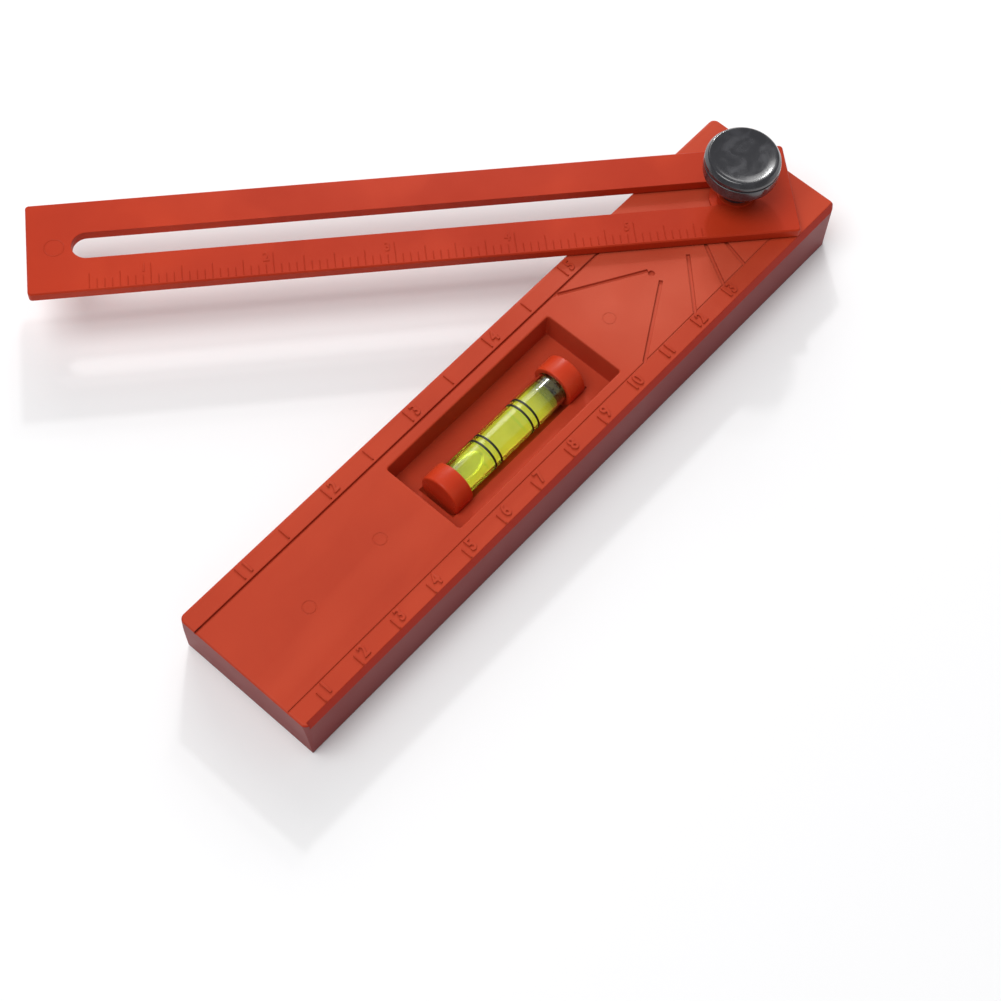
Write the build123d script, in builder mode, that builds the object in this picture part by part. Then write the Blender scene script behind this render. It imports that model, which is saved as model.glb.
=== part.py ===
from build123d import *
import math
import os

# Plastic sliding T-bevel with a level vial. Millimetres. The stock lies on its back on Z = 0.
# Z is the pivot axis, +X runs along the stock to its pivot end, and the centimetre edge faces -Y.

# Stock: the thick handle
stock_length = 164.1
stock_width = 34.0
stock_height = 14.0
head_overhang = 14.0
end_lean = 1.1
wall = 2.4
rib = 1.5
side_round = 0.5
corner_round = 1.5
bevel_width = 0.9
bevel_drop = 1.8
bevel_stop = 1.0

# Blade: a slotted rule that lies on the stock
blade_width = 22.5
blade_thickness = 2.2
blade_reach = 150.3
blade_overhang = 12.2
blade_angle = 41.3
slot_width = 6.4
slot_tip_land = 9.3
slot_head_reach = 4.05

# Pivot: M4 bolt, washers and slide block
bolt_diameter = 4.0
bolt_top = 25.4
head_flats = 7.0
head_height = 2.8
head_recess = 0.4
head_clearance = 0.05
bolt_clearance = 0.4
turning_clearance = 0.1
boss_radius = 8.0
washer_diameter = 11.0
washer_thickness = 1.0
washer_proud = 0.4
bush_length = 8.0
bush_width = 6.3
bush_height = 2.1
clamp_diameter = 8.8
clamp_thickness = 0.8
bolt_chamfer = 0.5
blade_chamfer = 0.25
blade_corner = 0.8

# Knob
stem_radius = 3.8
knob_radius = 8.15
knob_joint = 27.2
joint_gap = 0.3
joint_depth = 0.75
cap_top = 29.3
cap_dish = 0.35
crown_radius = 5.9
shoulder_point = (7.55, 28.6)
flare_start = 19.6
flare_point = (4.7, 21.5)
flare_end = (6.6, 22.6)
grip_floor = 24.3
plug_radius = 6.4
plug_depth = 1.4
insert_radius = 3.0
insert_bottom = 20.4

# Window pocket and level vial
pocket_length = 49.3
pocket_width = 19.7
pocket_floor = 7.1
pocket_corner = 0.6
pocket_round = 0.35
pocket_x = -74.5
cradle_gap = 0.9
window_cell_depth = 2.0
vial_x = -74.8
vial_y = -0.3
vial_z = 8.7
vial_length = 39.6
cap_radius = 4.95
cap_length = 4.8
cap_wall = 1.2
tube_radius = 3.8
tube_bore = 3.2
near_seal = 2.4
far_seal = 6.2
ring_x = -75.0
ring_spacing = 11.4
ring_pair = 1.7
ring_width = 0.5
ring_height = 0.1
bubble_length = 8.8
bubble_height = 3.9
bubble_x = -86.3
bubble_gap = 0.15

# Marks moulded into the stock's face
lip_line = 12.4
lip_line_end = -30.0
lip_groove = (0.5, 0.6)
strip_line = -12.1
strip_line_end = 2.0
strip_groove = (0.25, 0.15)
fan_point = (-5.7, 10.5)
fan_angles = (30, 45, 60, 75)
lip_fan_angles = (30, 45)
fan_start = 1.8
line_width = 0.8
line_depth = 0.55
dot_place = (-27.0, 0.8)
dot_radius = 0.7
pin_marks = ((-41.7, 0), (-111.5, 0), (-131.5, 0))
pin_radius = 1.5
pin_line = 0.25
pin_depth = 0.05

# Planes and places worked out from the sizes above
near_end = head_overhang - stock_length
mid_length = (head_overhang + near_end) / 2
half_width = stock_width / 2
washer_floor = stock_height + washer_proud - washer_thickness
blade_floor = stock_height + washer_proud
blade_top = blade_floor + blade_thickness
knob_floor = blade_top + clamp_thickness
head_top = head_recess + head_height
blade_turn = 180 - blade_angle
blade_dir = (math.cos(math.radians(blade_turn)), math.sin(math.radians(blade_turn)), 0)

os.makedirs("parts", exist_ok=True)


def save(piece, label):
    piece.part.label = label
    export_step(piece.part, f"parts/{label}.step")


def blade_plane(height):
    return Plane(origin=(0, 0, height), x_dir=blade_dir, z_dir=(0, 0, 1))


def vial_plane(x):
    return Plane(origin=(x, vial_y, vial_z), x_dir=(0, 1, 0), z_dir=(1, 0, 0))


def washer(outer, bore, floor, thickness):
    with BuildPart() as disc:
        with BuildSketch(Plane.XY.offset(floor)):
            Circle(outer / 2)
            Circle(bore / 2, mode=Mode.SUBTRACT)
        extrude(amount=thickness)
    return disc


def rib_cells(start, end, columns):
    # A grid of underside cells between two X positions, two rows wide
    pitch_x = (end - start + rib) / columns
    pitch_y = (stock_width - 2 * wall + rib) / 2
    with BuildSketch() as cells:
        with Locations(((start + end) / 2, 0)):
            with GridLocations(pitch_x, pitch_y, columns, 2):
                Rectangle(pitch_x - rib, pitch_y - rib)
    return cells.sketch


# ---- Stock ----
with BuildPart() as stock_body:
    with BuildSketch():
        with Locations((mid_length, 0)):
            RectangleRounded(stock_length, stock_width, corner_round)
    extrude(amount=stock_height)
    fillet(stock_body.faces().sort_by(Axis.Z)[-1].edges(), side_round)

    # The near end leans out towards the face
    with BuildSketch(Plane.XZ):
        with BuildLine():
            Polyline(
                (near_end - end_lean, stock_height),
                (near_end, stock_height),
                (near_end + end_lean, 0),
                (near_end - end_lean, 0),
                close=True,
            )
        make_face()
    extrude(amount=stock_width, both=True, mode=Mode.SUBTRACT)

    # Steep bevel along the scale edge, stopping short of the near end
    with BuildSketch(Plane.YZ.offset(near_end + bevel_stop)):
        with BuildLine():
            Polyline(
                (-half_width, stock_height),
                (bevel_width - half_width, stock_height),
                (-half_width, stock_height - bevel_drop),
                close=True,
            )
        make_face()
    extrude(amount=stock_length - bevel_stop, mode=Mode.SUBTRACT)

    # Ribbed underside, deep in the handle and shallow below the window
    pocket_start = pocket_x - pocket_length / 2
    pocket_end = pocket_x + pocket_length / 2
    deep = stock_height - wall
    near_cells = rib_cells(near_end + end_lean + wall, pocket_start - wall, 3)
    extrude(near_cells, amount=deep, mode=Mode.SUBTRACT)
    window_cells = rib_cells(pocket_start, pocket_end, 4)
    extrude(window_cells, amount=window_cell_depth, mode=Mode.SUBTRACT)
    middle_cells = rib_cells(pocket_end + wall, -boss_radius - rib, 3)
    extrude(middle_cells, amount=deep, mode=Mode.SUBTRACT)
    cheek_width = half_width - wall - boss_radius
    cheek_length = head_overhang - wall + boss_radius
    with BuildSketch():
        with Locations((head_overhang - wall - cheek_length / 2, 0)):
            with GridLocations(0, 2 * boss_radius + cheek_width, 1, 2):
                Rectangle(cheek_length, cheek_width)
    extrude(amount=deep, mode=Mode.SUBTRACT)

    # Window pocket with a cradle for the vial's caps
    with BuildSketch(Plane.XY.offset(pocket_floor)):
        with Locations((pocket_x, 0)):
            RectangleRounded(pocket_length, pocket_width, pocket_corner)
    extrude(amount=stock_height, mode=Mode.SUBTRACT)
    face_edges = stock_body.edges().filter_by_position(Axis.Z, stock_height - 0.01, stock_height + 0.01)
    across = face_edges.filter_by_position(Axis.Y, -pocket_width / 2 - 0.1, pocket_width / 2 + 0.1)
    fillet(across.filter_by_position(Axis.X, pocket_start - 0.1, pocket_end + 0.1), pocket_round)
    with BuildSketch(vial_plane(vial_x - vial_length / 2 - cradle_gap)):
        Circle(cap_radius)
    extrude(amount=vial_length + 2 * cradle_gap, mode=Mode.SUBTRACT)

    # Bolt hole, hexagon pocket for the head and seat for the friction washer
    with BuildSketch():
        RegularPolygon(head_flats / 2 + head_clearance, 6, major_radius=False)
    extrude(amount=head_top, mode=Mode.SUBTRACT)
    with BuildSketch():
        Circle((bolt_diameter + bolt_clearance) / 2)
    extrude(amount=stock_height, mode=Mode.SUBTRACT)
    with BuildSketch(Plane.XY.offset(washer_floor)):
        Circle(washer_diameter / 2)
    extrude(amount=stock_height, mode=Mode.SUBTRACT)

    # Lip line and scale line along the face
    with BuildSketch(Plane.XY.offset(stock_height)):
        with Locations(((near_end + lip_line_end) / 2, lip_line)):
            Rectangle(lip_line_end - near_end, lip_groove[0])
    extrude(amount=-lip_groove[1], mode=Mode.SUBTRACT)
    with BuildSketch(Plane.XY.offset(stock_height)):
        with Locations(((near_end + strip_line_end) / 2, strip_line)):
            Rectangle(strip_line_end - near_end, strip_groove[0])
    extrude(amount=-strip_groove[1], mode=Mode.SUBTRACT)

    # Fans of angle lines, one for each side, out to the scale line and to the lip line
    with BuildSketch(Plane.XY.offset(stock_height)):
        for side, fan_end, angles in ((1, -strip_line, fan_angles), (-1, lip_line, lip_fan_angles)):
            for angle in angles:
                slope = math.radians(angle)
                reach_in = (fan_point[1] + fan_start) / math.sin(slope)
                reach_out = (fan_point[1] + fan_end) / math.sin(slope)
                middle = (reach_in + reach_out) / 2
                x = fan_point[0] - middle * math.cos(slope)
                y = fan_point[1] - middle * math.sin(slope)
                with Locations(Location((x, y * side), side * angle)):
                    Rectangle(reach_out - reach_in, line_width)
    extrude(amount=-line_depth, mode=Mode.SUBTRACT)

    # Index dot and the witness marks of three ejector pins
    with BuildSketch(Plane.XY.offset(stock_height)):
        with Locations(dot_place):
            Circle(dot_radius)
    extrude(amount=-line_depth, mode=Mode.SUBTRACT)
    with BuildSketch(Plane.XY.offset(stock_height)):
        with Locations(*pin_marks):
            Circle(pin_radius)
            Circle(pin_radius - pin_line, mode=Mode.SUBTRACT)
    extrude(amount=-pin_depth, mode=Mode.SUBTRACT)
save(stock_body, "stock_body")

# ---- Blade ----
with BuildPart() as blade:
    blade_length = blade_reach + blade_overhang
    slot_start = -slot_head_reach
    slot_end = blade_reach - slot_tip_land
    with BuildSketch(blade_plane(blade_floor)):
        with Locations((blade_reach - blade_length / 2, 0)):
            RectangleRounded(blade_length, blade_width, blade_corner)
        with Locations(((slot_start + slot_end) / 2, 0)):
            SlotOverall(slot_end - slot_start, slot_width, mode=Mode.SUBTRACT)
    extrude(amount=blade_thickness)
    chamfer(blade.faces().sort_by(Axis.Z)[-1].outer_wire().edges(), blade_chamfer)
save(blade, "blade")

# ---- Pivot ----
with BuildPart() as pivot_bolt:
    with BuildSketch(Plane.XY.offset(head_recess)):
        RegularPolygon(head_flats / 2, 6, major_radius=False)
    extrude(amount=head_height)
    with BuildSketch(Plane.XY.offset(head_top)):
        Circle(bolt_diameter / 2)
    extrude(amount=bolt_top - head_top)
    chamfer(pivot_bolt.faces().sort_by(Axis.Z)[-1].edges(), bolt_chamfer)
save(pivot_bolt, "pivot_bolt")

clear_bore = bolt_diameter + bolt_clearance
friction_washer = washer(washer_diameter, clear_bore, washer_floor, washer_thickness)
save(friction_washer, "friction_washer")
clamp_washer = washer(clamp_diameter, clear_bore, blade_top, clamp_thickness)
save(clamp_washer, "clamp_washer")

with BuildPart() as slot_bush:
    with BuildSketch(blade_plane(blade_floor)):
        SlotOverall(bush_length, bush_width)
        Circle((bolt_diameter + turning_clearance) / 2, mode=Mode.SUBTRACT)
    extrude(amount=bush_height)
save(slot_bush, "slot_bush")

# ---- Knob ----
# The body's outline goes up the stem, under the flare and round the grip to the cap joint.
seat_radius = knob_radius - joint_depth
plug_floor = knob_joint - plug_depth
with BuildPart() as knob_body:
    with BuildSketch(Plane.XZ):
        with BuildLine():
            Polyline(
                (clear_bore / 2, knob_floor),
                (stem_radius, knob_floor),
                (stem_radius, flare_start),
            )
            flare = ThreePointArc((stem_radius, flare_start), flare_point, flare_end)
            grip = TangentArc(flare_end, (knob_radius, grip_floor), tangent=flare % 1)
            Polyline(
                grip @ 1,
                (knob_radius, knob_joint),
                (plug_radius, knob_joint),
                (plug_radius, plug_floor),
                (insert_radius, plug_floor),
                (insert_radius, insert_bottom),
                (clear_bore / 2, insert_bottom),
                (clear_bore / 2, knob_floor),
            )
        make_face()
    revolve(axis=Axis.Z)
save(knob_body, "knob_body")

with BuildPart() as knob_insert:
    with BuildSketch(Plane.XY.offset(insert_bottom)):
        Circle(insert_radius)
        Circle((bolt_diameter + turning_clearance) / 2, mode=Mode.SUBTRACT)
    extrude(amount=plug_floor - insert_bottom)
save(knob_insert, "knob_insert")

with BuildPart() as knob_cap:
    rim_floor = knob_joint + joint_gap
    dish_centre = cap_top - cap_dish
    with BuildSketch(Plane.XZ):
        with BuildLine():
            Polyline(
                (0, dish_centre),
                (0, plug_floor),
                (plug_radius, plug_floor),
                (plug_radius, knob_joint),
                (seat_radius, knob_joint),
                (seat_radius, rim_floor),
                (knob_radius, rim_floor),
            )
            ThreePointArc((knob_radius, rim_floor), shoulder_point, (crown_radius, cap_top))
            Spline(
                (crown_radius, cap_top),
                (crown_radius / 2, cap_top - 0.75 * cap_dish),
                (0, dish_centre),
                tangents=((-1, -0.12), (-1, 0)),
            )
        make_face()
    revolve(axis=Axis.Z)
save(knob_cap, "knob_cap")

# ---- Level vial ----
tube_length = vial_length - 2 * cap_wall
tube_near = vial_x - tube_length / 2
tube_far = vial_x + tube_length / 2
with BuildPart() as vial_tube:
    with BuildSketch(vial_plane(tube_near)):
        Circle(tube_radius)
        Circle(tube_bore, mode=Mode.SUBTRACT)
    extrude(amount=tube_length)
save(vial_tube, "vial_tube")

with BuildPart() as vial_fluid:
    with BuildSketch(vial_plane(tube_near + near_seal)):
        Circle(tube_bore)
    extrude(amount=tube_length - near_seal - far_seal)
    bubble_z = vial_z + tube_bore - bubble_height / 2 - bubble_gap
    with BuildSketch(Plane(origin=(bubble_x, vial_y, bubble_z), x_dir=(1, 0, 0), z_dir=(0, -1, 0))):
        Ellipse(bubble_length / 2, bubble_height / 2)
        with Locations((0, -bubble_height / 2)):
            Rectangle(bubble_length, bubble_height, mode=Mode.SUBTRACT)
    revolve(axis=Axis((bubble_x, vial_y, bubble_z), (1, 0, 0)), mode=Mode.SUBTRACT)
save(vial_fluid, "vial_fluid")

for name, side, seal_length in (("near", -1, near_seal), ("far", 1, far_seal)):
    with BuildPart() as vial_seal:
        with BuildSketch(vial_plane(tube_near if name == "near" else tube_far)):
            Circle(tube_bore)
        extrude(amount=-side * seal_length)
    save(vial_seal, f"vial_seal_{name}")

    cap_end = vial_x + side * vial_length / 2
    with BuildPart() as vial_cap:
        with BuildSketch(vial_plane(cap_end)):
            Circle(cap_radius)
        extrude(amount=-side * cap_length)
        with BuildSketch(vial_plane(cap_end - side * cap_wall)):
            Circle(tube_radius)
        extrude(amount=-side * cap_length, mode=Mode.SUBTRACT)
    save(vial_cap, f"vial_cap_{name}")

    for number, offset in enumerate((-ring_pair / 2, ring_pair / 2), start=1):
        middle = ring_x + side * ring_spacing / 2 + offset
        with BuildPart() as vial_ring:
            with BuildSketch(vial_plane(middle - ring_width / 2)):
                Circle(tube_radius + ring_height)
                Circle(tube_radius, mode=Mode.SUBTRACT)
            extrude(amount=ring_width)
        save(vial_ring, f"vial_ring_{name}_{number}")
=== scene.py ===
import bmesh
import bpy
import math
from mathutils import Matrix, Vector


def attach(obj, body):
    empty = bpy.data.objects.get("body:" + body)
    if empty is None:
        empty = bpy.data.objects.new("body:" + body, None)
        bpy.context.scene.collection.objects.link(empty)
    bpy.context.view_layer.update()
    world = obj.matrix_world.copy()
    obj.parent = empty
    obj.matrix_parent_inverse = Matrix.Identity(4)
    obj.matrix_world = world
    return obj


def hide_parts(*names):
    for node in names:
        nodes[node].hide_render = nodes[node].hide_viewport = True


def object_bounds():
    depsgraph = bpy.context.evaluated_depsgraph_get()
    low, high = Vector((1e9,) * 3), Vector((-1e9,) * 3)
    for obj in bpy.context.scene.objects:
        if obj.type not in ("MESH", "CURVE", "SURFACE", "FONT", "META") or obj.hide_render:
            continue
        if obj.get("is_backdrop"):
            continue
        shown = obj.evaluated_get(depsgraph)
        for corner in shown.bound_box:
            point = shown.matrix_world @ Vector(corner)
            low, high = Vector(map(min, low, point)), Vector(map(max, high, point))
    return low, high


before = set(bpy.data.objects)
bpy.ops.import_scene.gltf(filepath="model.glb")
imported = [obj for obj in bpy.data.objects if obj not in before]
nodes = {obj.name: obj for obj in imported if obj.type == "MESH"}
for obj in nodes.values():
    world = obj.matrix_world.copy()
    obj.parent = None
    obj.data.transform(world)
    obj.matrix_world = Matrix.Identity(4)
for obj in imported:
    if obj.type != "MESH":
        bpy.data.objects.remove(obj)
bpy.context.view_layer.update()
mm = 0.001
print("frame loaded:", len(nodes), "pieces")


# Small helpers

def addNode(tree, kind, inputs=None, **settings):
    node = tree.nodes.new(kind)
    for key, value in settings.items():
        setattr(node, key, value)
    for key, value in (inputs or {}).items():
        if isinstance(value, bpy.types.NodeSocket):
            tree.links.new(value, node.inputs[key])
        else:
            node.inputs[key].default_value = value
    return node


def newMaterial(name, constants):
    material = bpy.data.materials.new(name)
    material.use_nodes = True
    shader = material.node_tree.nodes["Principled BSDF"]
    for key, value in constants.items():
        shader.inputs[key].default_value = value
    return material, material.node_tree, shader


def noiseOn(tree, scale, detail=2.0, stretch=(1, 1, 1), distortion=0.0):
    # Noise in the piece's own metres; stretch squeezes it along one direction
    place = addNode(tree, "ShaderNodeTexCoord")
    mapping = addNode(tree, "ShaderNodeMapping", {"Vector": place.outputs["Object"], "Scale": stretch})
    noise = addNode(tree, "ShaderNodeTexNoise", {
        "Vector": mapping.outputs["Vector"], "Scale": scale, "Detail": detail, "Distortion": distortion,
    })
    return noise.outputs["Fac"]


def remap(tree, value, low, high, fromLow=0.3, fromHigh=0.7):
    return addNode(tree, "ShaderNodeMapRange", {
        "Value": value, "From Min": fromLow, "From Max": fromHigh, "To Min": low, "To Max": high,
    }).outputs["Result"]


def calculate(tree, first, second, operation="MULTIPLY"):
    return addNode(tree, "ShaderNodeMath", {0: first, 1: second}, operation=operation).outputs[0]


def blendColours(tree, factor, first, second):
    mix = addNode(tree, "ShaderNodeMix", data_type="RGBA")
    tree.links.new(factor, mix.inputs[0])
    for socket, colour in ((mix.inputs[6], first), (mix.inputs[7], second)):
        if isinstance(colour, bpy.types.NodeSocket):
            tree.links.new(colour, socket)
        else:
            socket.default_value = (*colour, 1)
    return mix.outputs[2]


def bumpChain(tree, shader, layers, edgeRadius=0.0):
    # Each layer is (height, strength, distance), and all of them sit on a softened edge
    normal = None
    if edgeRadius:
        normal = addNode(tree, "ShaderNodeBevel", {"Radius": edgeRadius}, samples=4).outputs["Normal"]
    for height, strength, distance in layers:
        inputs = {"Height": height, "Strength": strength, "Distance": distance}
        if normal is not None:
            inputs["Normal"] = normal
        normal = addNode(tree, "ShaderNodeBump", inputs).outputs["Normal"]
    tree.links.new(normal, shader.inputs["Normal"])


# Materials

def sideTones(tree, colour, look):
    # Painted shade darkens the outer walls and the near end face, painted shade deepens the red on the sloped
    # edge, and a painted sheen makes the face paler round a spot near the head
    place = addNode(tree, "ShaderNodeTexCoord")
    upright = addNode(tree, "ShaderNodeSeparateXYZ", {"Vector": place.outputs["Normal"]}).outputs["Z"]
    spot = addNode(tree, "ShaderNodeSeparateXYZ", {"Vector": place.outputs["Object"]})
    across = addNode(tree, "ShaderNodeMath", {0: spot.outputs["Y"]}, operation="ABSOLUTE").outputs[0]
    # Painted sheen: the face turns paler within a few centimetres of a spot near the head, broken up by noise
    # and weaker on the number strip
    paintedSheenCentre = addNode(tree, "ShaderNodeVectorMath", {0: place.outputs["Object"], 1: look["paintedSheenCentre"]},
                   operation="DISTANCE").outputs["Value"]
    paintedSheen = remap(tree, paintedSheenCentre, look["paintedSheen"], 0, look["paintedSheenInner"], look["paintedSheenOuter"])
    uneven = remap(tree, noiseOn(tree, look["paintedSheenScale"], 2), look["paintedSheenLeast"], 1.0)
    inside = remap(tree, spot.outputs["Y"], look["paintedSheenOnStrip"], 1, *look["stripLine"])
    colour = blendColours(tree, calculate(tree, calculate(tree, paintedSheen, uneven), inside), colour, look["paintedSheenColour"])
    # Painted shade: faces tilted away from straight up, near the outer edge, get a deeper red
    sloped = remap(tree, upright, 1, 0, *look["slopeTilt"])
    edge = remap(tree, across, 0, 1, *look["slopeStart"])
    colour = blendColours(tree, calculate(tree, sloped, edge), colour, look["slope"])
    # Painted shade: steep outer walls and the near end face turn dark
    steep = remap(tree, upright, 1, 0, *look["wallTilt"])
    outside = remap(tree, across, 0, 1, *look["sideStart"])
    ending = remap(tree, spot.outputs["X"], 1, 0, *look["endStart"])
    paintedWallShade = calculate(tree, steep, calculate(tree, outside, ending, "MAXIMUM"))
    return blendColours(tree, paintedWallShade, colour, look["side"])


def mouldedPlastic(name, look):
    material, tree, shader = newMaterial(name, {
        "Specular IOR Level": look["specular"],
        "Subsurface Weight": look["glow"],
        "Subsurface Radius": look["glowReach"],
        "Subsurface Scale": 1.0,
    })
    clouds = noiseOn(tree, look["cloudScale"], 3)
    flow = noiseOn(tree, look["flowScale"], 2, look["flowStretch"], 0.6)
    grain = noiseOn(tree, look["grainScale"], 1)
    waves = noiseOn(tree, look["waveScale"], 1)
    base = blendColours(tree, remap(tree, clouds, 0, 1), look["deep"], look["light"])
    colour = blendColours(tree, remap(tree, flow, 0, look["streakMost"], 0.5, 0.75), base, look["streak"])
    # Painted shade on the walls and sloped edge, and a painted sheen near the head
    if "side" in look:
        colour = sideTones(tree, colour, look)
    tree.links.new(colour, shader.inputs["Base Color"])
    tree.links.new(remap(tree, clouds, *look["roughness"]), shader.inputs["Roughness"])
    bumpChain(tree, shader, [
        (waves, look["waveDepth"], look["waveHeight"]),
        (grain, look["grainDepth"], look["grainHeight"]),
    ], look["edge"])
    return material


stockLook = {
    "deep": (0.42, 0.038, 0.012), "light": (0.48, 0.048, 0.016), "streak": (0.54, 0.064, 0.024),
    "roughness": (0.52, 0.40), "specular": 0.15, "glow": 0.05, "glowReach": (0.0016, 0.0003, 0.0002),
    "cloudScale": 38, "flowScale": 40, "flowStretch": (0.35, 1.6, 1.6), "streakMost": 0.55, "edge": 0.0003,
    "grainScale": 2600, "grainDepth": 0.25, "grainHeight": 0.00006,
    "waveScale": 55, "waveDepth": 0.22, "waveHeight": 0.0006,
}
bladeLook = dict(
    stockLook, deep=(0.41, 0.028, 0.007), light=(0.47, 0.036, 0.010), streak=(0.54, 0.048, 0.014),
    roughness=(0.48, 0.36), specular=0.11, cloudScale=46, flowStretch=(1.2, 1.2, 1.2), waveDepth=0.12,
    edge=0.00018,
)
vialCapLook = dict(
    stockLook, deep=(0.50, 0.035, 0.010), light=(0.58, 0.055, 0.018), streak=(0.62, 0.07, 0.03),
    roughness=(0.34, 0.24), cloudScale=120, waveScale=140, waveDepth=0.10, edge=0.0,
)
# Colours and masks for painted shade on the walls and sloped edge, and for a painted sheen on the face near the
# head
stockBodyLook = dict(
    stockLook, side=(0.22, 0.026, 0.024), slope=(0.40, 0.020, 0.005), paintedSheenColour=(0.60, 0.105, 0.055),
    slopeTilt=(0.55, 0.95), wallTilt=(0.12, 0.35), slopeStart=(0.0159, 0.0161), sideStart=(0.0163, 0.0167),
    endStart=(-0.1484, -0.148), stripLine=(-0.0124, -0.0121), paintedSheenCentre=(-0.026, 0.0, 0.014),
    paintedSheen=0.6, paintedSheenInner=0.012, paintedSheenOuter=0.036, paintedSheenScale=64.6, paintedSheenLeast=0.45, paintedSheenOnStrip=0.25,
)
stockPlastic = mouldedPlastic("stockPlastic", stockLook)
stockBodyPlastic = mouldedPlastic("stockBodyPlastic", stockBodyLook)
bladePlastic = mouldedPlastic("bladePlastic", bladeLook)
vialCapPlastic = mouldedPlastic("vialCapPlastic", vialCapLook)

knobLook = {
    "base": (0.018, 0.018, 0.022), "dust": (0.050, 0.050, 0.058), "roughness": (0.12, 0.26), "specular": 0.65,
    "coat": 0.4, "coatRoughness": 0.06, "smudgeScale": 260, "dimpleScale": 420, "dimpleDepth": 0.05,
}
knobPlastic, tree, shader = newMaterial("knobPlastic", {
    "Specular IOR Level": knobLook["specular"], "Coat Weight": knobLook["coat"],
    "Coat Roughness": knobLook["coatRoughness"],
})
smudge = noiseOn(tree, knobLook["smudgeScale"], 4, (1, 1, 1), 0.8)
dimple = noiseOn(tree, knobLook["dimpleScale"], 1)
tree.links.new(blendColours(tree, remap(tree, smudge, 0, 1, 0.45, 0.8), knobLook["base"], knobLook["dust"]),
               shader.inputs["Base Color"])
tree.links.new(remap(tree, smudge, *knobLook["roughness"]), shader.inputs["Roughness"])
bumpChain(tree, shader, [(dimple, knobLook["dimpleDepth"], 0.0002)])

acrylicLook = {
    "colour": (0.96, 0.98, 0.92, 1), "bend": 1.49, "specular": 0.5, "roughness": (0.015, 0.05),
    "hazeScale": 500, "waveScale": 260, "waveDepth": 0.05,
}
vialAcrylic, tree, shader = newMaterial("vialAcrylic", {
    "Base Color": acrylicLook["colour"], "Transmission Weight": 1.0, "IOR": acrylicLook["bend"],
    "Specular IOR Level": acrylicLook["specular"],
})
haze = remap(tree, noiseOn(tree, acrylicLook["hazeScale"], 2), *acrylicLook["roughness"])
tree.links.new(haze, shader.inputs["Roughness"])
bumpChain(tree, shader, [(noiseOn(tree, acrylicLook["waveScale"], 1), acrylicLook["waveDepth"], 0.0001)])

# The brown end colour is painted shade at the fluid's ends; the glow values drive a painted glow
fluidLook = {
    "thin": (0.80, 0.84, 0.14), "deep": (0.54, 0.60, 0.05), "endShade": (0.20, 0.10, 0.03), "glow": 0.36,
    "glowColour": (0.62, 0.70, 0.07, 1), "clearness": 0.9, "bend": 1.33, "roughness": 0.03, "cloudScale": 180,
    "axisY": -0.0003, "axisZ": 0.0087, "skin": (0.00310, 0.00316), "farGlow": 0.35, "patchGlow": 0.15,
    "farFade": (-0.0660, -0.0622), "nearFade": (-0.0850, -0.0880), "nearSide": (0.0000, 0.0020),
}
vialFluid, tree, shader = newMaterial("vialFluid", {
    "Transmission Weight": fluidLook["clearness"], "IOR": fluidLook["bend"],
    "Roughness": fluidLook["roughness"], "Emission Color": fluidLook["glowColour"],
})
clouds = remap(tree, noiseOn(tree, fluidLook["cloudScale"], 2), 0, 1)
clear = blendColours(tree, clouds, fluidLook["deep"], fluidLook["thin"])
# Painted glow: the fluid emits light at its skin, and less towards its ends, where painted shade darkens its
# colour
place = addNode(tree, "ShaderNodeTexCoord")
spot = addNode(tree, "ShaderNodeSeparateXYZ", {"Vector": place.outputs["Object"]})
sideways = calculate(tree, spot.outputs["Y"], fluidLook["axisY"], "SUBTRACT")
above = calculate(tree, spot.outputs["Z"], fluidLook["axisZ"], "SUBTRACT")
squares = calculate(tree, calculate(tree, sideways, sideways), calculate(tree, above, above), "ADD")
outer = remap(tree, calculate(tree, squares, 0.5, "POWER"), 0.0, 1.0, *fluidLook["skin"])
farEnd = remap(tree, spot.outputs["X"], 1.0, fluidLook["farGlow"], *fluidLook["farFade"])
nearEnd = remap(tree, spot.outputs["X"], 0.0, 1.0, *fluidLook["nearFade"])
lipSide = remap(tree, spot.outputs["Y"], 0, 1, *fluidLook["nearSide"])
nearShadePatch = remap(tree, calculate(tree, nearEnd, lipSide), 1.0, fluidLook["patchGlow"], 0.0, 1.0)
ends = calculate(tree, farEnd, nearShadePatch)
# Painted shade: the fluid's colour turns dark brown towards the far end and in a patch at the near end
tree.links.new(blendColours(tree, ends, fluidLook["endShade"], clear), shader.inputs["Base Color"])
# Painted glow: emission strength, strongest at the fluid's skin and weaker at its ends
glow = calculate(tree, calculate(tree, outer, ends), fluidLook["glow"])
tree.links.new(glow, shader.inputs["Emission Strength"])


def simpleFinish(name, look, constants):
    # Two close colours and an uneven roughness from one noise, with a little bump
    material, tree, shader = newMaterial(name, constants)
    noise = noiseOn(tree, look["scale"], 3, look.get("stretch", (1, 1, 1)))
    tree.links.new(blendColours(tree, remap(tree, noise, 0, 1), *look["colours"]), shader.inputs["Base Color"])
    tree.links.new(remap(tree, noise, *look["roughness"]), shader.inputs["Roughness"])
    bumpChain(tree, shader, [(noise, look["bump"], 0.0001)])
    return material


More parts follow.
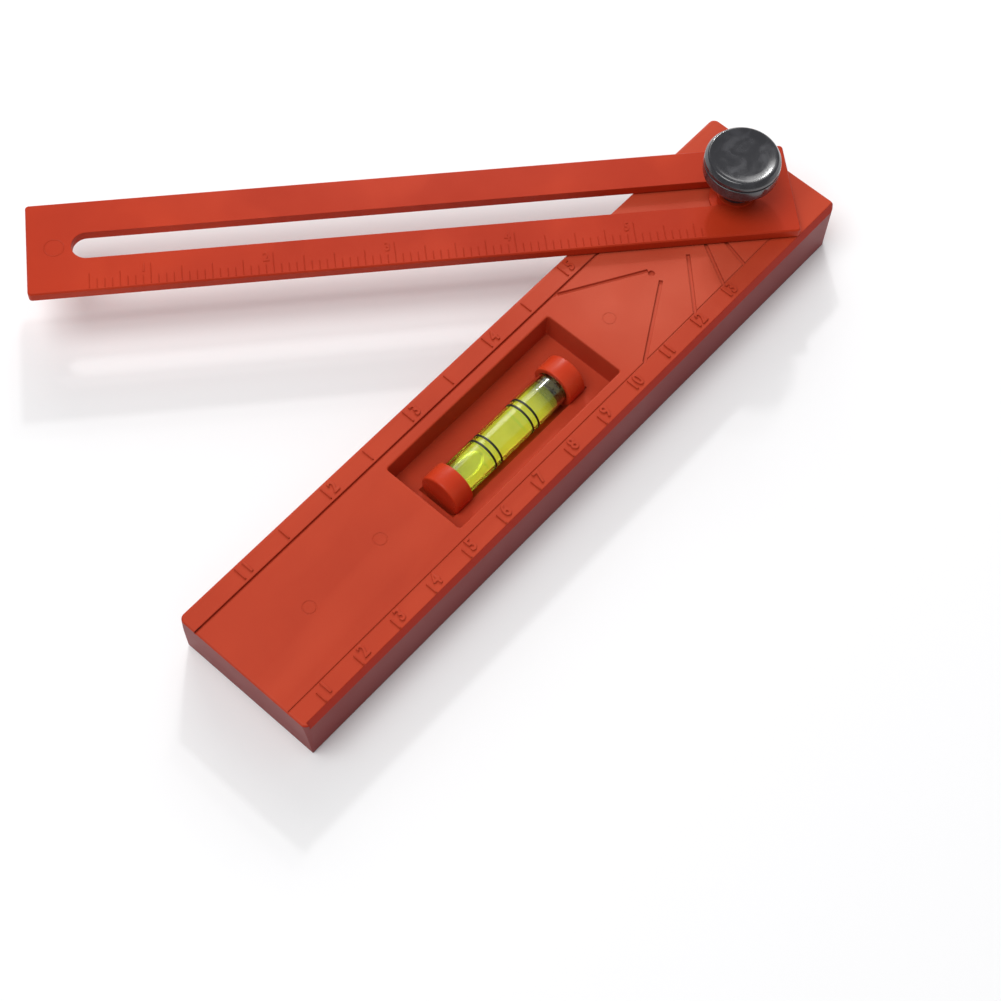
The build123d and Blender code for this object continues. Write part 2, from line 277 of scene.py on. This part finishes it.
sealRubber = simpleFinish("sealRubber", {
    "colours": ((0.015, 0.012, 0.006), (0.30, 0.25, 0.07)), "roughness": (0.15, 0.4), "scale": 620, "bump": 0.3,
    "stretch": (1.6, 1, 1),
}, {"Transmission Weight": 0.35, "IOR": 1.45})
ringBlack = simpleFinish("ringBlack", {
    "colours": ((0.006, 0.006, 0.006), (0.014, 0.014, 0.013)), "roughness": (0.35, 0.5), "scale": 700,
    "bump": 0.05,
}, {})
steel = simpleFinish("steel", {
    "colours": ((0.50, 0.50, 0.52), (0.62, 0.62, 0.62)), "roughness": (0.22, 0.38), "scale": 900,
    "stretch": (1, 1, 0.15), "bump": 0.12,
}, {"Metallic": 1.0})
brass = simpleFinish("brass", {
    "colours": ((0.60, 0.42, 0.14), (0.72, 0.54, 0.22)), "roughness": (0.22, 0.36), "scale": 900,
    "stretch": (1, 1, 0.15), "bump": 0.12,
}, {"Metallic": 1.0})

finishes = {
    "stock_body": stockBodyPlastic, "blade": bladePlastic, "clamp_washer": bladePlastic,
    "slot_bush": vialCapPlastic, "friction_washer": vialCapPlastic, "pivot_bolt": steel, "knob_insert": brass,
    "knob_body": knobPlastic, "knob_cap": knobPlastic, "vial_tube": vialAcrylic, "vial_fluid": vialFluid,
    "vial_seal_near": sealRubber, "vial_seal_far": sealRubber, "vial_cap_near": vialCapPlastic,
    "vial_cap_far": vialCapPlastic,
}
for name, node in nodes.items():
    for slot in node.material_slots:
        slot.material = finishes.get(name, ringBlack)
print("materials made:", len(bpy.data.materials))


# Turned pieces

smoothBelow = 35  # degrees between faces


def addPiece(name, mesh, material, smooth=None):
    mesh.materials.clear()
    mesh.materials.append(material)
    if smooth is not None:
        mesh.shade_smooth()
        mesh.set_sharp_from_angle(angle=math.radians(smooth))
    piece = bpy.data.objects.new(name, mesh)
    bpy.context.scene.collection.objects.link(piece)
    return piece


def roundedOutline(corners, steps=6):
    # Corners are (radius, height, rounding); the outline comes back as points with each corner rounded
    points = []
    for i, (radius, height, rounding) in enumerate(corners):
        here = Vector((radius, height))
        if not rounding:
            points.append(here)
            continue
        back = Vector(corners[i - 1][:2]) - here
        ahead = Vector(corners[(i + 1) % len(corners)][:2]) - here
        half = back.angle(ahead) / 2
        cut = min(rounding / math.tan(half), 0.49 * back.length, 0.49 * ahead.length)
        middle = here + (back.normalized() + ahead.normalized()).normalized() * cut / math.cos(half)
        first = here + back.normalized() * cut - middle
        last = here + ahead.normalized() * cut - middle
        sweep = first.angle(last)
        for k in range(steps + 1):
            t = k / steps
            arc = first * math.sin((1 - t) * sweep) + last * math.sin(t * sweep)
            points.append(middle + arc / math.sin(sweep))
    return points


def lathe(name, outline, place, material, segments=96):
    # Turns a closed outline in millimetres about Z; a point on the axis is a single vertex
    bm = bmesh.new()
    rings = []
    for radius, height in outline:
        if radius < 1e-4:
            rings.append([bm.verts.new((0, 0, height))])
            continue
        turns = [math.tau * k / segments for k in range(segments)]
        rings.append([bm.verts.new((radius * math.cos(a), radius * math.sin(a), height)) for a in turns])
    for lower, upper in zip(rings, rings[1:] + rings[:1]):
        for i in range(segments):
            j = (i + 1) % segments
            below = (lower[i % len(lower)], lower[j % len(lower)])
            above = (upper[j % len(upper)], upper[i % len(upper)])
            corners = list(dict.fromkeys(below + above))
            if len(corners) > 2:
                bm.faces.new(corners)
    bmesh.ops.recalc_face_normals(bm, faces=bm.faces)
    bm.transform(place @ Matrix.Scale(mm, 4))
    mesh = bpy.data.meshes.new(name)
    bm.to_mesh(mesh)
    bm.free()
    return addPiece(name, mesh, material, smoothBelow)


# Knob: grip with a flared underside, and a dished cap
knobShape = {
    "bore": 2.2, "stem": 3.8, "floor": 17.4, "flareStart": 19.6, "flare": 6.6, "flareTop": 22.6,
    "grip": 8.15, "gripFloor": 24.3, "joint": 27.2, "seat": 7.4, "plug": 6.4, "plugFloor": 25.8,
    "insert": 3.0, "insertFloor": 20.4, "capFloor": 27.5, "top": 29.3, "crown": 6.85,
    "rim": 5.5, "rimDrop": 0.30, "dish": 0.08, "dishRings": 12, "segments": 128,
}
k = knobShape
knobPlace = Matrix.Identity(4)
gripOutline = roundedOutline([
    (k["bore"], k["floor"], 0.2), (k["stem"], k["floor"], 0.25), (k["stem"], k["flareStart"] + 0.5, 1.1),
    (k["flare"], k["flareTop"], 2.2), (k["grip"], k["gripFloor"] - 0.2, 1.6), (k["grip"], k["joint"], 0.22),
    (k["plug"], k["joint"], 0), (k["plug"], k["plugFloor"], 0), (k["insert"], k["plugFloor"], 0),
    (k["insert"], k["insertFloor"], 0), (k["bore"], k["insertFloor"], 0),
], 8)
knobGrip = lathe("knobGrip", gripOutline, knobPlace, knobPlastic, k["segments"])

rimZ = k["top"] - k["rimDrop"]
dishSteps = [
    (k["rim"] * t / k["dishRings"], rimZ - k["dish"] * (1 - (t / k["dishRings"]) ** 2), 0)
    for t in range(k["dishRings"] - 1, 0, -1)
]
capOutline = roundedOutline([
    (0, rimZ - k["dish"], 0), (0, k["plugFloor"], 0), (k["plug"], k["plugFloor"], 0),
    (k["plug"], k["joint"], 0), (k["seat"], k["joint"], 0), (k["seat"], k["capFloor"], 0),
    (k["grip"], k["capFloor"], 0.18), (k["grip"] - 0.1, k["capFloor"] + 0.75, 0.7),
    (k["grip"] - 0.75, k["top"], 0.9), (k["crown"], k["top"], 2.5), (k["rim"], rimZ, 0), *dishSteps,
], 8)
knobTop = lathe("knobTop", capOutline, knobPlace, knobPlastic, k["segments"])
for piece, node in ((knobGrip, "knob_body"), (knobTop, "knob_cap")):
    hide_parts(node)
    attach(piece, "knob")
print("knob turned")

# Level vial: everything turns about its own axis, along X
vialShape = {
    "x": -74.8, "y": -0.3, "z": 8.7, "length": 39.6, "capRadius": 4.95, "capLength": 4.8, "capWall": 1.2,
    "tubeRadius": 3.8, "bore": 3.2,
    "ringSpacing": 11.4, "ringPair": 1.7, "ringX": -0.2, "ringWidth": 0.5, "ringHeight": 0.1,
}
v = vialShape
lengthwise = Matrix.Translation(Vector((v["x"], v["y"], v["z"])) * mm) @ Matrix.Rotation(math.pi / 2, 4, "Y")
tubeEnd = v["length"] / 2 - v["capWall"]
tube = lathe("vialTube", roundedOutline([
    (v["bore"], -tubeEnd, 0), (v["tubeRadius"], -tubeEnd, 0.1),
    (v["tubeRadius"], tubeEnd, 0.1), (v["bore"], tubeEnd, 0),
], 3), lengthwise, vialAcrylic)
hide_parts("vial_tube")
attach(tube, "stock")

for side, name in ((-1, "near"), (1, "far")):
    end = side * v["length"] / 2
    mouth = end - side * v["capLength"]
    pocket = end - side * v["capWall"]
    cap = lathe(f"vialCap_{name}", roundedOutline([
        (0, end, 0), (v["capRadius"], end, 0.45), (v["capRadius"], mouth, 0.25), (v["tubeRadius"], mouth, 0.12),
        (v["tubeRadius"], pocket, 0), (0, pocket, 0),
    ], 5), lengthwise, vialCapPlastic)
    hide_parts(f"vial_cap_{name}")
    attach(cap, "stock")
    for number, offset in enumerate((-v["ringPair"] / 2, v["ringPair"] / 2), start=1):
        middle = v["ringX"] + side * v["ringSpacing"] / 2 + offset
        low, high = middle - v["ringWidth"] / 2, middle + v["ringWidth"] / 2
        outer = v["tubeRadius"] + v["ringHeight"]
        ring = lathe(f"vialRing_{name}_{number}", roundedOutline([
            (v["tubeRadius"], low, 0), (outer, low, 0.08), (outer, high, 0.08), (v["tubeRadius"], high, 0),
        ], 3), lengthwise, ringBlack)
        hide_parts(f"vial_ring_{name}_{number}")
        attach(ring, "stock")
print("vial turned")


# Ruled ticks: one Geometry Nodes tree makes every row

def tickTree():
    tree = bpy.data.node_groups.new("ruledTicks", "GeometryNodeTree")
    face = tree.interface
    for name, kind in (("Count", "Int"), ("Pitch", "Float"), ("Width", "Float"), ("Height", "Float"),
                       ("Short", "Float"), ("Medium", "Float"), ("Long", "Float"),
                       ("Medium Every", "Int"), ("Long Every", "Int"), ("First", "Int"),
                       ("Finish", "Material")):
        face.new_socket(name, in_out="INPUT", socket_type=f"NodeSocket{kind}")
    face.new_socket("Geometry", in_out="OUTPUT", socket_type="NodeSocketGeometry")
    given = addNode(tree, "NodeGroupInput").outputs
    step = addNode(tree, "ShaderNodeCombineXYZ", {"X": given["Pitch"]})
    line = addNode(tree, "GeometryNodeMeshLine", {"Count": given["Count"], "Offset": step.outputs["Vector"]},
                   mode="OFFSET")
    index = addNode(tree, "GeometryNodeInputIndex")
    number = addNode(tree, "ShaderNodeMath", {0: index.outputs["Index"], 1: given["First"]}, operation="ADD")
    length = given["Short"]
    for every, value in (("Medium Every", "Medium"), ("Long Every", "Long")):
        rest = addNode(tree, "ShaderNodeMath", {0: number.outputs[0], 1: given[every]}, operation="MODULO")
        isOne = addNode(tree, "FunctionNodeCompare", {0: rest.outputs[0], 1: 0.5}, data_type="FLOAT",
                        operation="LESS_THAN")
        chosen = addNode(tree, "GeometryNodeSwitch", {"Switch": isOne.outputs[0], "False": length,
                                                      "True": given[value]}, input_type="FLOAT")
        length = chosen.outputs["Output"]
    # One bar a metre long with a narrower top, its root at the origin
    size = addNode(tree, "ShaderNodeCombineXYZ", {"X": given["Width"], "Y": 1.0, "Z": given["Height"]})
    bar = addNode(tree, "GeometryNodeMeshCube", {"Size": size.outputs["Vector"]})
    place = addNode(tree, "GeometryNodeInputPosition")
    parts = addNode(tree, "ShaderNodeSeparateXYZ", {"Vector": place.outputs["Position"]})
    isTop = addNode(tree, "FunctionNodeCompare", {0: parts.outputs["Z"], 1: 0.0}, data_type="FLOAT",
                    operation="GREATER_THAN")
    narrow = addNode(tree, "ShaderNodeVectorMath", {0: place.outputs["Position"], 1: (0.5, 0.97, 1.0)},
                     operation="MULTIPLY")
    tapered = addNode(tree, "GeometryNodeSetPosition", {"Geometry": bar.outputs["Mesh"],
                                                        "Selection": isTop.outputs[0],
                                                        "Position": narrow.outputs["Vector"]})
    rooted = addNode(tree, "GeometryNodeTransform", {"Geometry": tapered.outputs["Geometry"],
                                                     "Translation": (0, 0.5, 0)})
    scale = addNode(tree, "ShaderNodeCombineXYZ", {"X": 1.0, "Y": length, "Z": 1.0})
    placed = addNode(tree, "GeometryNodeInstanceOnPoints", {"Points": line.outputs["Mesh"],
                                                            "Instance": rooted.outputs["Geometry"],
                                                            "Scale": scale.outputs["Vector"]})
    real = addNode(tree, "GeometryNodeRealizeInstances", {"Geometry": placed.outputs["Instances"]})
    done = addNode(tree, "GeometryNodeSetMaterial", {"Geometry": real.outputs["Geometry"],
                                                     "Material": given["Finish"]})
    addNode(tree, "NodeGroupOutput", {"Geometry": done.outputs["Geometry"]})
    return tree


ticks = tickTree()


def tickRow(values, finish, place):
    # Runs the tree with these values and gives back its plain mesh, set in place
    holder = bpy.data.objects.new("rowHolder", bpy.data.meshes.new("rowHolder"))
    bpy.context.scene.collection.objects.link(holder)
    modifier = holder.modifiers.new("ruledTicks", "NODES")
    modifier.node_group = ticks
    sockets = {item.name: item.identifier for item in ticks.interface.items_tree if item.in_out == "INPUT"}
    for name, value in values.items():
        modifier[sockets[name]] = value
    modifier[sockets["Finish"]] = finish
    graph = bpy.context.evaluated_depsgraph_get()
    mesh = bpy.data.meshes.new_from_object(holder.evaluated_get(graph), depsgraph=graph)
    holder.modifiers.remove(modifier)
    bpy.data.objects.remove(holder)
    mesh.transform(place)
    return mesh


figureStyle = {"squeeze": 0.82, "boldness": 0.03, "smoothness": 3}


def figure(text, size, height, place):
    # One raised figure, narrowed, its middle at the origin before it is placed
    curve = bpy.data.curves.new("figure", "FONT")
    curve.body = text
    curve.size = size
    curve.align_x = "CENTER"
    curve.align_y = "CENTER"
    curve.extrude = height / 2
    curve.offset = size * figureStyle["boldness"]
    curve.resolution_u = figureStyle["smoothness"]
    holder = bpy.data.objects.new("figureHolder", curve)
    bpy.context.scene.collection.objects.link(holder)
    graph = bpy.context.evaluated_depsgraph_get()
    mesh = bpy.data.meshes.new_from_object(holder.evaluated_get(graph), depsgraph=graph)
    bpy.data.objects.remove(holder)
    bpy.data.curves.remove(curve)
    mesh.transform(place @ Matrix.Diagonal((figureStyle["squeeze"], 1, 1, 1)))
    return mesh


def joined(name, meshes, material):
    bm = bmesh.new()
    for mesh in meshes:
        bm.from_mesh(mesh)
        bpy.data.meshes.remove(mesh)
    bmesh.ops.remove_doubles(bm, verts=bm.verts, dist=1e-7)
    bmesh.ops.recalc_face_normals(bm, faces=bm.faces)
    mesh = bpy.data.meshes.new(name)
    bm.to_mesh(mesh)
    bm.free()
    return addPiece(name, mesh, material)


# Centimetre strip: a figure for each division, and a stroke beside the first ones
centimetres = {
    "first": -143.4, "pitch": 10.26, "count": 13, "strokes": 9, "strokeFoot": -15.95, "stroke": 2.7,
    "strokeWidth": 0.42, "figureAhead": 2.0, "aloneAhead": 1.2, "middle": -13.95, "size": 3.9,
    "height": 0.36, "sink": 0.04,
}
c = centimetres
face = 14.0  # the stock's upper face
level = face + c["height"] / 2 - c["sink"]
meshes = [tickRow({
    "Count": c["strokes"], "Pitch": c["pitch"] * mm, "Width": c["strokeWidth"] * mm, "Height": c["height"] * mm,
    "Short": c["stroke"] * mm, "Medium": c["stroke"] * mm, "Long": c["stroke"] * mm,
    "Medium Every": 1, "Long Every": 1, "First": 0,
}, stockPlastic, Matrix.Translation(Vector((c["first"], c["strokeFoot"], level)) * mm))]
for i in range(c["count"]):
    x = c["first"] + i * c["pitch"] + (c["figureAhead"] if i < c["strokes"] else c["aloneAhead"])
    spot = Vector((x, c["middle"], level)) * mm
    meshes.append(figure(str(i + 1), c["size"] * mm, c["height"] * mm, Matrix.Translation(spot)))
numberStrip = joined("numberStrip", meshes, stockPlastic)
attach(numberStrip, "stock")

# Lip strip: wider divisions, every other one numbered
lipScale = {
    "first": -135.4, "pitch": 12.0, "count": 9, "foot": 13.2, "short": 2.9, "long": 3.2, "width": 0.36,
    "figureAhead": 2.1, "middle": 14.75, "size": 3.7, "height": 0.36, "sink": 0.05,
}
s = lipScale
level = face + s["height"] / 2 - s["sink"]
meshes = [tickRow({
    "Count": s["count"], "Pitch": s["pitch"] * mm, "Width": s["width"] * mm, "Height": s["height"] * mm,
    "Short": s["short"] * mm, "Medium": s["long"] * mm, "Long": s["long"] * mm,
    "Medium Every": 2, "Long Every": 2, "First": 0,
}, stockPlastic, Matrix.Translation(Vector((s["first"], s["foot"], level)) * mm))]
for i in range(0, s["count"], 2):
    spot = Vector((s["first"] + i * s["pitch"] + s["figureAhead"], s["middle"], level)) * mm
    meshes.append(figure(str(i // 2 + 1), s["size"] * mm, s["height"] * mm, Matrix.Translation(spot)))
lipStrip = joined("lipStrip", meshes, stockPlastic)
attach(lipStrip, "stock")

# Blade rule: sixteenths of an inch from the tip, quarters and inches taller, inches numbered
bladeRule = {
    "angle": 138.7, "top": 16.6, "reach": 150.3, "inch": 25.4, "skip": 8, "count": 82, "foot": 10.7,
    "short": 2.1, "medium": 3.6, "long": 5.0, "width": 0.26, "height": 0.14, "sink": 0.04,
    "figures": 5, "figureBack": 1.5, "figureMiddle": 6.75, "size": 3.1,
}
b = bladeRule
pitch = b["inch"] / 16
level = b["top"] + b["height"] / 2 - b["sink"]
bladeFrame = Matrix.Rotation(math.radians(b["angle"]), 4, "Z")
# The row starts near the tip and runs to the pivot, its ticks pointing away from the ruled edge
rowStart = Matrix.Translation(Vector((b["reach"] - b["skip"] * pitch, b["foot"], level)) * mm)
turned = Matrix.Rotation(math.pi, 4, "Z")
meshes = [tickRow({
    "Count": b["count"], "Pitch": pitch * mm, "Width": b["width"] * mm, "Height": b["height"] * mm,
    "Short": b["short"] * mm, "Medium": b["medium"] * mm, "Long": b["long"] * mm,
    "Medium Every": 4, "Long Every": 16, "First": b["skip"],
}, bladePlastic, bladeFrame @ rowStart @ turned)]
for i in range(1, b["figures"] + 1):
    x = b["reach"] - b["inch"] * i + b["figureBack"]
    spot = Matrix.Translation(Vector((x, b["figureMiddle"], level)) * mm)
    meshes.append(figure(str(i), b["size"] * mm, b["height"] * mm, bladeFrame @ spot @ turned))
bladeScale = joined("bladeScale", meshes, bladePlastic)
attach(bladeScale, "blade")

# Witness ring of an ejector pin near the blade's tip
pinRing = {"x": 144.6, "radius": 1.9, "width": 0.3, "height": 0.03, "foot": -0.05, "segments": 64}
r = pinRing
ringPlace = bladeFrame @ Matrix.Translation(Vector((r["x"], 0, b["top"])) * mm)
bladePin = lathe("bladePinMark", roundedOutline([
    (r["radius"], r["foot"], 0), (r["radius"] + r["width"], r["foot"], 0),
    (r["radius"] + r["width"], r["height"], 0.04), (r["radius"], r["height"], 0.04),
], 2), ringPlace, bladePlastic, r["segments"])
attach(bladePin, "blade")
print("figures and ticks made")

# Floor, world and lights
floorLook = {
    "size": 3.0, "colour": (0.93, 0.93, 0.93), "tint": (0.90, 0.90, 0.91), "drop": 0.0002, "roughness": 0.9,
    "specular": 0.1,
}
bm = bmesh.new()
bmesh.ops.create_grid(bm, x_segments=1, y_segments=1, size=floorLook["size"])
bm.transform(Matrix.Translation((0, 0, -floorLook["drop"])))
floorMesh = bpy.data.meshes.new("floor")
bm.to_mesh(floorMesh)
bm.free()
floorPaper, tree, shader = newMaterial("floorPaper", {
    "Roughness": floorLook["roughness"], "Specular IOR Level": floorLook["specular"],
})
tree.links.new(blendColours(tree, noiseOn(tree, 3, 2), floorLook["colour"], floorLook["tint"]),
               shader.inputs["Base Color"])
floor = addPiece("floor", floorMesh, floorPaper)
floor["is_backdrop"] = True

sky = {"colour": (0.97, 0.98, 1.0, 1), "strength": 0.355}
world = bpy.data.worlds.new("studio")
world.use_nodes = True
background = world.node_tree.nodes["Background"]
background.inputs["Color"].default_value = sky["colour"]
background.inputs["Strength"].default_value = sky["strength"]
bpy.context.scene.world = world

target = Vector((-0.0832, -0.0071, 0))
lights = {
    "key": {"at": (0.90, 1.15, 1.00), "size": (1.0, 1.0), "power": 6.5, "colour": (1.0, 0.99, 0.97)},
    "top": {"at": (-0.60, 0.25, 1.65), "size": (1.1, 1.1), "power": 19.0, "colour": (1.0, 0.995, 0.99)},
    "sheen": {"at": (1.12, 0.55, 0.67), "size": (0.85, 0.24), "power": 1.9, "colour": (1.0, 0.99, 0.98)},
    "glint": {"at": (0.47, 0.54, 0.60), "size": (0.055, 0.045), "power": 1.6, "colour": (1.0, 1.0, 1.0)},
    "spark": {"at": (0.55, 0.52, 0.54), "size": (0.028, 0.020), "power": 0.45, "colour": (1.0, 1.0, 1.0)},
}
for name, light in lights.items():
    data = bpy.data.lights.new(name, "AREA")
    data.shape = "RECTANGLE"
    data.size, data.size_y = light["size"]
    data.energy = light["power"]
    data.color = light["colour"]
    lamp = bpy.data.objects.new(name, data)
    lamp.location = light["at"]
    lamp.rotation_euler = (target - lamp.location).to_track_quat("-Z", "Y").to_euler()
    bpy.context.scene.collection.objects.link(lamp)

# Camera
view = {
    "azimuth": -52.37, "elevation": 62.035, "distance": 0.44456, "roll": 4.395, "lens": 77.75, "sensor": 36,
    "nearest": 0.01,
}
azimuth, elevation, roll = (math.radians(view[key]) for key in ("azimuth", "elevation", "roll"))
backward = Vector((math.sin(azimuth) * math.cos(elevation), -math.cos(azimuth) * math.cos(elevation),
                   math.sin(elevation)))
rightward = Vector((math.cos(azimuth), math.sin(azimuth), 0))
upward = backward.cross(rightward)
side = rightward * math.cos(roll) + upward * math.sin(roll)
top = upward * math.cos(roll) - rightward * math.sin(roll)
camera = bpy.data.objects.new("camera", bpy.data.cameras.new("camera"))
camera.data.lens = view["lens"]
camera.data.sensor_width = view["sensor"]
camera.data.clip_start = view["nearest"]
camera.matrix_world = Matrix.Translation(target + backward * view["distance"]) @ Matrix((
    (side.x, top.x, backward.x, 0), (side.y, top.y, backward.y, 0), (side.z, top.z, backward.z, 0),
    (0, 0, 0, 1),
))
bpy.context.scene.collection.objects.link(camera)
bpy.context.scene.camera = camera
bpy.context.scene.view_settings.view_transform = "Standard"
print("stage set")

low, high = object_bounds()
